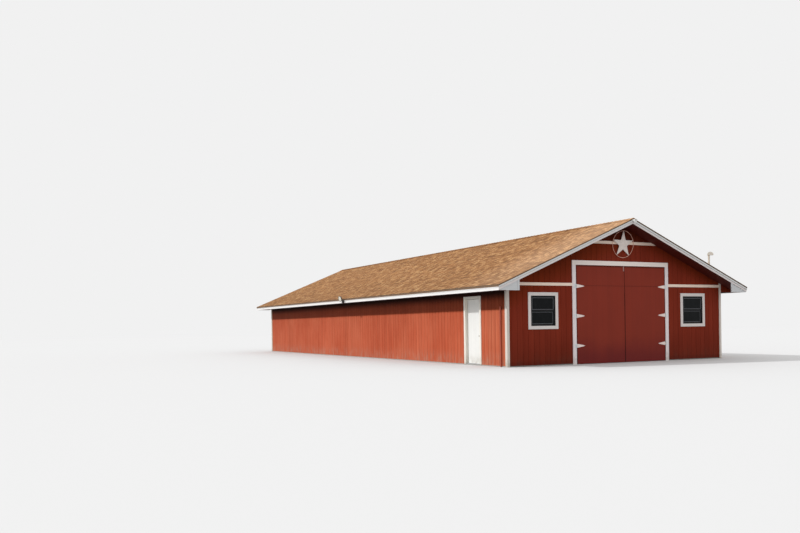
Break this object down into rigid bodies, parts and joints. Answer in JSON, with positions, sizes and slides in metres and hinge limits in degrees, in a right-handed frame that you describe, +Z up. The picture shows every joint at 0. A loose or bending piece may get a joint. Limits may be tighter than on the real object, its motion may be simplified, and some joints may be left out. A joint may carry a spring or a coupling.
{
  "type": "timber barn",
  "caption": "Long gable barn with red grooved siding, white trim, strap-hinged barn doors, a side walk door and a shingled roof.",
  "frame": {"origin": "on the ground, midway between the side walls and midway between the end walls", "axes": "+X to the right seen from the front, +Y from the front gable to the back gable, +Z up"},
  "size_m": [10.348, 23.6353, 4.5571],
  "materials": {
    "red_siding": "matte",
    "red_board": "matte",
    "red_door": "matte",
    "white_trim": "matte",
    "white_door": "satin",
    "bare_timber": "matte",
    "shingles": "matte",
    "concrete": "matte",
    "glass": "gloss",
    "dark_frame": "satin",
    "white_iron": "satin",
    "star_metal": "satin",
    "grey_steel": "satin",
    "red_pipe": "satin",
    "bare_metal": "satin"
  },
  "bodies": {
    "building": {"floor_slab": "concrete", "front_wall_left": "red_siding", "front_wall_right": "red_siding", "front_gable": "red_siding", "left_wall_front": "red_siding", "left_wall_header": "red_siding", "left_wall_back": "red_siding", "right_wall": "red_siding", "back_wall": "red_siding", "eave_box_ends": "red_siding", "corner_boards": "white_trim", "door_casing_left": "white_trim", "door_casing_right": "white_trim", "door_casing_head": "white_trim", "door_stops": "red_board", "band_boards": "white_trim", "barn_star": "star_metal", "roof_left": "shingles", "roof_right": "shingles", "ridge_cap": "shingles", "fascias": "white_trim", "rake_boards": "white_trim", "eave_soffits": "red_board", "rake_soffits": "red_board", "eave_returns": "white_trim", "rafters": "bare_timber", "ridge_beam": "bare_timber", "collar_ties": "bare_timber", "window_casings": "white_trim", "window_frames": "dark_frame", "window_glass": "glass", "walk_door_jambs": "white_trim", "walk_door_head": "white_trim", "walk_door_sill": "bare_metal", "hinge_plates": "white_iron", "service_mast": "grey_steel", "eave_lamp": "dark_frame", "peak_lamp": "white_iron", "wall_conduit": "red_pipe"},
    "left_door": {"left_barn_door": "red_door", "left_door_ironwork": "white_iron"},
    "right_door": {"right_barn_door": "red_door", "right_door_ironwork": "white_iron"},
    "side_door": {"walk_door": "white_door", "walk_door_knobs": "bare_metal"}
  },
  "joints": [
    {"name": "left_door_swing", "type": "hinge", "parent": "building", "child": "left_door", "pos_m": [-1.848, -11.215, 1.5], "axis": [0, 0, 1], "range_deg": [-135, 0]},
    {"name": "right_door_swing", "type": "hinge", "parent": "building", "child": "right_door", "pos_m": [1.848, -11.215, 1.5], "axis": [0, 0, 1], "range_deg": [0, 135]},
    {"name": "side_door_swing", "type": "hinge", "parent": "building", "child": "side_door", "pos_m": [-4.296, -8.8635, 1], "axis": [0, 0, 1], "range_deg": [0, 105]}
  ]
}
